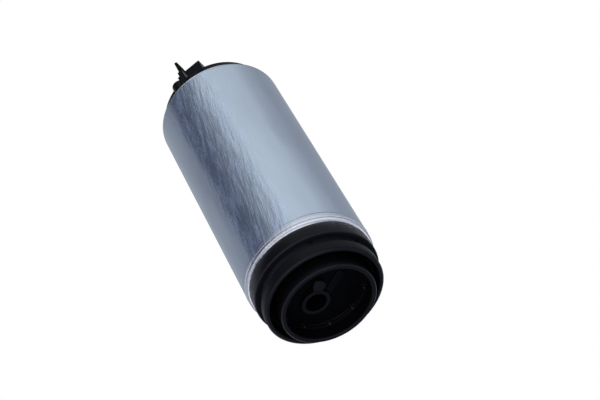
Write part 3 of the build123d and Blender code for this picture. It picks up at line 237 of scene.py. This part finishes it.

# Painted highlights on edges and faces of the black pieces, and painted light in the ring's shaded
# groove: lowest and highest level, inner and outer distance, all in mm, and how pale
INLET_PAINTED_HIGHLIGHTS = (
    (-1.0, 0.4, 13.0, 17.0, 0.65),
    (9.9, 10.3, 20.0, 22.0, 1.0),
    (9.6, 10.05, 18.0, 20.2, 0.4),
    (4.0, 4.7, 0.0, 10.0, 0.7),
    (4.8, 5.05, 0.0, 10.0, 0.55),
    (4.8, 5.2, 13.0, 14.5, 0.65),
    (5.6, 5.9, 0.0, 13.0, 0.14),
)
RING_PAINTED_HIGHLIGHTS = (
    (3.0, 3.9, 18.0, 19.8, 0.8),
    (7.7, 9.9, 17.5, 19.3, 0.45),
)

# Rounded edges of the copies: lowest and highest level, inner and outer distance, radius, all in mm
INLET_EDGES = (
    (6.14, 6.16, 13.0, 14.0, 0.25),
    (4.94, 4.96, 0.0, 10.0, 0.1),
    (5.7, 5.8, 0.0, 13.0, 0.15),
)
RING_EDGES = (
    (7.54, 7.56, 19.0, 20.0, 0.6),
    (3.5, 3.7, 18.0, 19.5, 0.3),
)
CUP_FLOOR = (6.14, 6.16, 0.0, 14.0)
ROUND_STEPS = 3
ROUND_PROFILE = 0.5
WELD = 0.001 * MM
FLAT_ANGLE = radians(0.6)
SHARP_ANGLE = radians(35)


def add_node(tree, kind, inputs=None, **settings):
    """A new shader node; each input is a value, or the socket that feeds it."""
    made = tree.nodes.new(kind)
    for name, value in settings.items():
        setattr(made, name, value)
    for name, value in (inputs or {}).items():
        if isinstance(value, bpy.types.NodeSocket):
            tree.links.new(value, made.inputs[name])
        else:
            made.inputs[name].default_value = value
    return made


def calculate(tree, operation, first, second):
    """What an operation makes of two values."""
    return add_node(tree, "ShaderNodeMath", {0: first, 1: second}, operation=operation).outputs[0]


def multiply(tree, first, second):
    """The product of two values."""
    return calculate(tree, "MULTIPLY", first, second)


def larger(tree, first, second):
    """The larger of two values."""
    return calculate(tree, "MAXIMUM", first, second)


def spread(tree, value, low, high, first=0.3, last=0.7):
    """A value mapped from first..last, where most noise lies, to low..high, and held there."""
    inputs = {"Value": value, "From Min": first, "From Max": last, "To Min": low, "To Max": high}
    return add_node(tree, "ShaderNodeMapRange", inputs).outputs["Result"]


def within(tree, value, low, high):
    """1 where a length lies between two others in millimetres, with soft ends."""
    rising = spread(tree, value, 0, 1, low * MM - EDGE_FADE, low * MM + EDGE_FADE)
    falling = spread(tree, value, 1, 0, high * MM - EDGE_FADE, high * MM + EDGE_FADE)
    return multiply(tree, rising, falling)


def object_place(tree):
    """An object's own coordinates, which for the housing's pieces are the frame's."""
    return add_node(tree, "ShaderNodeTexCoord").outputs["Object"]


def height_of(tree, place):
    """The height of a place along the part's axis."""
    return add_node(tree, "ShaderNodeSeparateXYZ", {0: place}).outputs["Z"]


def distance_of(tree, place):
    """The distance of a place from the part's axis."""
    flat = add_node(tree, "ShaderNodeVectorMath", {0: place, 1: (1, 1, 0)}, operation="MULTIPLY")
    length = add_node(tree, "ShaderNodeVectorMath", {0: flat.outputs[0]}, operation="LENGTH")
    return length.outputs["Value"]


def scaled(tree, vector, scale, along=1.0):
    """A vector times a scale, and squeezed along Z so that noise streaks."""
    inputs = {"Vector": vector, "Scale": (scale, scale, scale * along)}
    return add_node(tree, "ShaderNodeMapping", inputs).outputs["Vector"]


def noise(tree, vector, detail=3.0, roughness=0.5):
    """A noise texture's value, from 0 to 1."""
    inputs = {"Vector": vector, "Scale": 1.0, "Detail": detail, "Roughness": roughness}
    return add_node(tree, "ShaderNodeTexNoise", inputs).outputs["Fac"]


def blend(tree, factor, first, second):
    """A colour between two, each given or a socket's, as the factor goes from 0 to 1."""
    inputs = {"Factor": factor}
    for name, end in (("A", first), ("B", second)):
        inputs[name] = end if isinstance(end, bpy.types.NodeSocket) else (*end, 1)
    return add_node(tree, "ShaderNodeMix", inputs, data_type="RGBA").outputs["Result"]


def bumps(tree, height, distance, normal=None):
    """A normal disturbed by a height, on top of another where one is given."""
    inputs = {"Height": height, "Strength": 1.0, "Distance": distance}
    if normal:
        inputs["Normal"] = normal
    return add_node(tree, "ShaderNodeBump", inputs).outputs["Normal"]


def new_material(name, metallic, specular=0.5):
    """A Principled material, its node tree and its shader."""
    material = bpy.data.materials.new(name)
    material.use_nodes = True
    tree = material.node_tree
    shader = tree.nodes["Principled BSDF"]
    shader.inputs["Metallic"].default_value = metallic
    shader.inputs["Specular IOR Level"].default_value = specular
    return material, tree, shader


def painted_highlight_places(tree, highlight_bands):
    """From 0 to 1 where a part has a painted highlight, by level and by distance from the axis."""
    place = object_place(tree)
    level = height_of(tree, place)
    distance = distance_of(tree, place)
    total = 0.0
    for low, high, inner, outer, pale in highlight_bands:
        highlight_band = multiply(tree, within(tree, level, low, high), within(tree, distance, inner, outer))
        total = larger(tree, total, multiply(tree, highlight_band, pale))
    return total


def grained(
    name,
    dark,
    light,
    metallic,
    rough,
    grain=2000.0,
    along=1.0,
    bump=0.02,
    specular=0.5,
    tint=(1, 1, 1),
    highlight_bands=(),
    pale=None,
):
    """A material with fine grain in its colour, its roughness and its surface, and painted highlights
    where bands are given.
    """
    material, tree, shader = new_material(name, metallic, specular)
    shader.inputs["Specular Tint"].default_value = (*tint, 1)
    place = object_place(tree)
    fine = noise(tree, scaled(tree, place, grain, along))
    broad = noise(tree, scaled(tree, place, grain / PATCH_BREADTH, along))
    colour = blend(tree, spread(tree, broad, 0, 1), dark, light)
    # Painted highlights: a pale colour on the given bands, patchy with the broad grain
    if highlight_bands:
        patchy = multiply(tree, painted_highlight_places(tree, highlight_bands), spread(tree, broad, PATCH_LEAST, 1))
        colour = blend(tree, patchy, colour, pale)
    tree.links.new(colour, shader.inputs["Base Color"])
    tree.links.new(spread(tree, fine, *rough), shader.inputs["Roughness"])
    tree.links.new(bumps(tree, fine, bump * MM), shader.inputs["Normal"])
    return material


def rubbed_strip(tree, place):
    """Where the tube is rubbed, all along the side that faces one azimuth, and its leaning strokes."""
    strip = (cos(RUBBED_AZIMUTH), sin(RUBBED_AZIMUTH), 0)
    facing = add_node(tree, "ShaderNodeVectorMath", {0: place, 1: strip}, operation="DOT_PRODUCT")
    rubbed = spread(tree, facing.outputs["Value"], RUBBED_LEAST, 1, RUBBED_FROM, RUBBED_FULL)
    turn = {"Vector": place, "Axis": strip, "Angle": STROKE_LEAN}
    leaned = add_node(tree, "ShaderNodeVectorRotate", turn).outputs[0]
    squeezed = scaled(tree, leaned, STROKE_GRAIN, STROKE_STRETCH)
    return rubbed, noise(tree, squeezed, STROKE_DETAIL, STROKE_SHARPNESS)


def turned_lip(tree, place):
    """Where the tube's turned lip is, at the inlet end, and the lines that run round it."""
    height = height_of(tree, place)
    lip = spread(tree, height, 1, 0, LIP_TOP - LIP_FADE, LIP_TOP + LIP_FADE)
    around = add_node(tree, "ShaderNodeCombineXYZ", {"X": distance_of(tree, place), "Z": height})
    return lip, noise(tree, scaled(tree, around.outputs[0], RING_GRAIN))


def zinc_tube():
    """Zinc-plated drawn tube: soft dents, a strip of rubbed strokes with painted reflection in their
    colour, fine hairs, a turned lip with partly painted reflection, and painted groove shade above it.
    """
    material, tree, shader = new_material("zinc_tube", 1.0)
    place = object_place(tree)
    clouds = noise(tree, scaled(tree, place, DENT_GRAIN, DENT_STRETCH), DENT_DETAIL)
    hairs = noise(tree, scaled(tree, place, HAIR_GRAIN, HAIR_STRETCH), HAIR_DETAIL)
    rubbed, strokes = rubbed_strip(tree, place)
    lip, lines = turned_lip(tree, place)
    # Colour
    dull = multiply(tree, rubbed, spread(tree, strokes, 0, 1, *STROKE_SPAN))
    plain = blend(tree, spread(tree, clouds, 0, 1), TUBE_DARK, TUBE_LIGHT)
    # The strokes' paler, bluer colour is painted reflection of the light they scatter from the
    # brighter panels
    streaked = blend(tree, multiply(tree, dull, STROKE_REFLECTION_COVER), plain, STROKE_REFLECTION_COLOUR)
    # The lip's turned lines are real marks; their colour, paler and more lavender than the tube's, is
    # partly painted reflection of the curved lip
    ringed = blend(tree, spread(tree, lines, 0, 1, *RING_SPAN), LIP_DARK, LIP_SHEEN_LIGHT)
    lipped = blend(tree, lip, streaked, ringed)
    # A dark line above the lip: painted shade of a shallow groove
    groove_shade = multiply(tree, within(tree, height_of(tree, place), *GROOVE_SHADE), GROOVE_SHADE_COVER)
    tree.links.new(blend(tree, groove_shade, lipped, GROOVE_SHADE_COLOUR), shader.inputs["Base Color"])
    # Roughness
    polish = spread(tree, hairs, *TUBE_ROUGH)
    dulled = calculate(tree, "ADD", polish, multiply(tree, dull, STROKE_DULLING))
    tree.links.new(dulled, shader.inputs["Roughness"])
    # Surface
    dented = bumps(tree, clouds, DENT_DEPTH)
    stroked = bumps(tree, multiply(tree, rubbed, strokes), STROKE_DEPTH, dented)
    turned = bumps(tree, multiply(tree, lip, lines), RING_DEPTH, stroked)
    tree.links.new(bumps(tree, hairs, HAIR_DEPTH, turned), shader.inputs["Normal"])
    return material


materials = {
    "zinc_steel": zinc_tube(),
    "black_plastic": grained("black_plastic", **BLACK_PLASTIC),
    "black_rubber": grained("black_rubber", **BLACK_RUBBER),
    "tinned_brass": grained("tinned_brass", **TIN_IN_PAINTED_SHADE),
}
for name, look in OTHER_MATERIALS.items():
    materials[name] = grained(name, *look)

for subpart in frame["record"]["subparts"]:
    mesh = nodes[subpart["node"]].data
    mesh.materials.clear()
    mesh.materials.append(materials[subpart["material_slot"]])


def is_between(edge, low, high, inner, outer):
    """Whether both ends of an edge lie between two levels and two distances from the axis."""
    for corner in edge.verts:
        if not low * MM <= corner.co.z <= high * MM:
            return False
        if not inner * MM <= corner.co.xy.length <= outer * MM:
            return False
    return True


def rounded(node, material, edges, floor=None):
    """A copy of a CAD node with some edges rounded, which stands for it."""
    shape = bmesh.new()
    shape.from_mesh(nodes[node].data)
    bmesh.ops.remove_doubles(shape, verts=shape.verts, dist=WELD)
    bmesh.ops.join_triangles(
        shape, faces=shape.faces, angle_face_threshold=FLAT_ANGLE, angle_shape_threshold=pi
    )
    if floor:
        flat = [edge for edge in shape.edges if edge.calc_face_angle(0) < FLAT_ANGLE]
        inner = [edge for edge in flat if is_between(edge, *floor)]
        bmesh.ops.dissolve_edges(shape, edges=inner, use_verts=False)
    for *place, radius in edges:
        sharp = [edge for edge in shape.edges if abs(edge.calc_face_angle(0)) > SHARP_ANGLE]
        bmesh.ops.bevel(
            shape,
            geom=[edge for edge in sharp if is_between(edge, *place)],
            offset=radius * MM,
            segments=ROUND_STEPS,
            profile=ROUND_PROFILE,
            affect="EDGES",
        )
    mesh = bpy.data.meshes.new(node + "_rounded")
    shape.to_mesh(mesh)
    shape.free()
    mesh.shade_smooth()
    mesh.set_sharp_from_angle(angle=SHARP_ANGLE)
    mesh.materials.append(material)
    piece = bpy.data.objects.new(node + "_rounded", mesh)
    bpy.context.scene.collection.objects.link(piece)
    normals = piece.modifiers.new("normals", "WEIGHTED_NORMAL")
    normals.keep_sharp = True
    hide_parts(node)
    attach(piece, "housing")


# The inlet cover and the mount ring carry painted highlights on edges and faces, and painted light in
# the ring's groove
inlet_plastic = grained("inlet_plastic", **BLACK_PLASTIC, highlight_bands=INLET_PAINTED_HIGHLIGHTS, pale=PAINTED_HIGHLIGHT_BLACK)
ring_rubber = grained("ring_rubber", **BLACK_RUBBER, highlight_bands=RING_PAINTED_HIGHLIGHTS, pale=PAINTED_HIGHLIGHT_BLACK)
rounded("inlet_cover", inlet_plastic, INLET_EDGES, floor=CUP_FLOOR)
rounded("rubber_mount_ring", ring_rubber, RING_EDGES)


def squeezed_spring(node, letter, fixed_end):
    """A copy of a spring, which stands for it."""
    low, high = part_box(node)
    index = "xyz".index(letter)
    anchor = [(low[k] + high[k]) / 2 for k in range(3)]
    anchor[index] = fixed_end
    piece = bpy.data.objects.new(node + "_coil", nodes[node].data.copy())
    bpy.context.scene.collection.objects.link(piece)
    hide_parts(node)
    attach(piece, "housing")
    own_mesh(piece)


for joint in frame["record"]["behaviour"]["joints"]:
    for spring in joint.get("deforming_nodes", ()):
        letter = spring["mode"][-1]
        squeezed_spring(spring["node"], letter, spring["fixed_end_" + letter + "_m"])


def floor():
    """Plain pale floor, opaque only from above, so that the part also shows from below.

    Reflections see it from a short way out, and look through it under the part.
    """
    mesh = bpy.data.meshes.new("floor")
    half = FLOOR_SIZE / 2
    corners = [(-half, -half, 0), (half, -half, 0), (half, half, 0), (-half, half, 0)]
    mesh.from_pydata(corners, [], [(0, 1, 2, 3)])
    plane = bpy.data.objects.new("floor", mesh)
    plane.location.z = FLOOR_LEVEL
    bpy.context.scene.collection.objects.link(plane)
    material, tree, shader = new_material("pale_floor", 0, FLOOR_SPECULAR)
    shader.inputs["Base Color"].default_value = (FLOOR_GREY, FLOOR_GREY, FLOOR_GREY, 1)
    shader.inputs["Roughness"].default_value = FLOOR_ROUGHNESS
    path = add_node(tree, "ShaderNodeLightPath").outputs
    length = add_node(tree, "ShaderNodeVectorMath", {0: object_place(tree)}, operation="LENGTH")
    far = spread(tree, length.outputs["Value"], 0, 1, CLEAR_RADIUS, CLEAR_RADIUS + CLEAR_FADE)
    seen = larger(tree, path["Is Camera Ray"], multiply(tree, path["Is Glossy Ray"], far))
    below = add_node(tree, "ShaderNodeNewGeometry").outputs["Backfacing"]
    solid = multiply(tree, seen, calculate(tree, "SUBTRACT", 1.0, below))
    clear = add_node(tree, "ShaderNodeBsdfTransparent").outputs[0]
    mix = add_node(tree, "ShaderNodeMixShader", {0: solid, 1: clear, 2: shader.outputs[0]})
    tree.links.new(mix.outputs[0], tree.nodes["Material Output"].inputs["Surface"])
    mesh.materials.append(material)


def panel_ramp(tree, share, panels, blue_gain):
    """A glow that runs round the wall, from each panel's azimuth in degrees and its level."""
    ramp = add_node(tree, "ShaderNodeValToRGB", {0: share})
    ramp.color_ramp.interpolation = "EASE"
    stops = ramp.color_ramp.elements
    while len(stops) > 1:
        stops.remove(stops[-1])
    for k, (azimuth, level) in enumerate(panels):
        place = azimuth / 360 + 0.5
        stop = stops[0] if k == 0 else stops.new(place)
        stop.position = place
        stop.color = (PANEL_RED * level - RED_LOSS, level, PANEL_BLUE * level + blue_gain, 1)
    return ramp.outputs["Color"]


def wall_mesh():
    """An upright round band about the part's axis."""
    mesh = bpy.data.meshes.new("studio_wall")
    shape = bmesh.new()
    rings = []
    for level in (WALL_LOW, WALL_HIGH):
        ring = []
        for k in range(WALL_STEPS):
            turn = 2 * pi * k / WALL_STEPS
            ring.append(shape.verts.new((WALL_RADIUS * cos(turn), WALL_RADIUS * sin(turn), level)))
        rings.append(ring)
    low_ring, high_ring = rings
    for k in range(WALL_STEPS):
        after = (k + 1) % WALL_STEPS
        shape.faces.new((low_ring[k], low_ring[after], high_ring[after], high_ring[k]))
    shape.to_mesh(mesh)
    shape.free()
    return mesh


def studio_wall():
    """Round wall of soft panels that only reflections see: one row above the part, one below it."""
    mesh = wall_mesh()
    wall = bpy.data.objects.new("studio_wall", mesh)
    bpy.context.scene.collection.objects.link(wall)
    wall.visible_camera = False
    wall.visible_diffuse = False
    wall.visible_transmission = False
    wall.visible_shadow = False
    material = bpy.data.materials.new("studio_wall")
    material.use_nodes = True
    tree = material.node_tree
    tree.nodes.clear()
    parts = add_node(tree, "ShaderNodeSeparateXYZ", {0: object_place(tree)}).outputs
    turn = calculate(tree, "ARCTAN2", parts["Y"], parts["X"])
    share = spread(tree, turn, 0, 1, -pi, pi)
    above = spread(tree, parts["Z"], 0, 1, HORIZON_LOW, HORIZON_HIGH)
    lower = panel_ramp(tree, share, LOWER_PANELS, LOWER_BLUE_GAIN)
    upper = panel_ramp(tree, share, UPPER_PANELS, UPPER_BLUE_GAIN)
    dim = spread(tree, parts["Z"], 1, DIM_LEVEL, DIM_LOW, DIM_HIGH)
    glow = {"Color": blend(tree, above, lower, upper), "Strength": dim}
    emission = add_node(tree, "ShaderNodeEmission", glow)
    add_node(tree, "ShaderNodeOutputMaterial", {"Surface": emission.outputs[0]})
    mesh.materials.append(material)


def world():
    """White to the camera and to reflections; a plain soft level as light."""
    made = bpy.data.worlds.new("studio")
    bpy.context.scene.world = made
    made.use_nodes = True
    tree = made.node_tree
    tree.nodes.clear()
    path = add_node(tree, "ShaderNodeLightPath").outputs
    sharp = larger(tree, path["Is Camera Ray"], path["Is Glossy Ray"])
    seen = larger(tree, sharp, path["Is Transmission Ray"])
    level = spread(tree, seen, FILL_LEVEL, 1.0, 0, 1)
    back = add_node(tree, "ShaderNodeBackground", {"Color": (1, 1, 1, 1), "Strength": level})
    add_node(tree, "ShaderNodeOutputWorld", {"Surface": back.outputs[0]})


def lamp(name, place, size, power):
    """A soft square lamp that looks at the part."""
    light = bpy.data.lights.new(name, "AREA")
    light.size = size
    light.energy = power
    holder = bpy.data.objects.new(name, light)
    holder.location = place
    aim = Vector(LAMP_TARGET) - Vector(place)
    holder.rotation_euler = aim.to_track_quat("-Z", "Y").to_euler()
    holder.visible_glossy = False
    bpy.context.scene.collection.objects.link(holder)


def camera():
    """The photograph's camera."""
    data = bpy.data.cameras.new("camera")
    data.lens = CAMERA_LENS
    data.sensor_width = SENSOR_WIDTH
    data.clip_start = CAMERA_CLIP
    made = bpy.data.objects.new("camera", data)
    right = Vector(CAMERA_RIGHT).normalized()
    up = Vector(CAMERA_UP).normalized()
    back = right.cross(up)
    turn = Matrix((right, up, back)).transposed()
    made.matrix_world = Matrix.Translation(CAMERA_PLACE) @ turn.to_4x4()
    bpy.context.scene.collection.objects.link(made)
    bpy.context.scene.camera = made


floor()
studio_wall()
world()
camera()
for settings in LAMPS:
    lamp(*settings)
bpy.context.scene.view_settings.view_transform = "Standard"
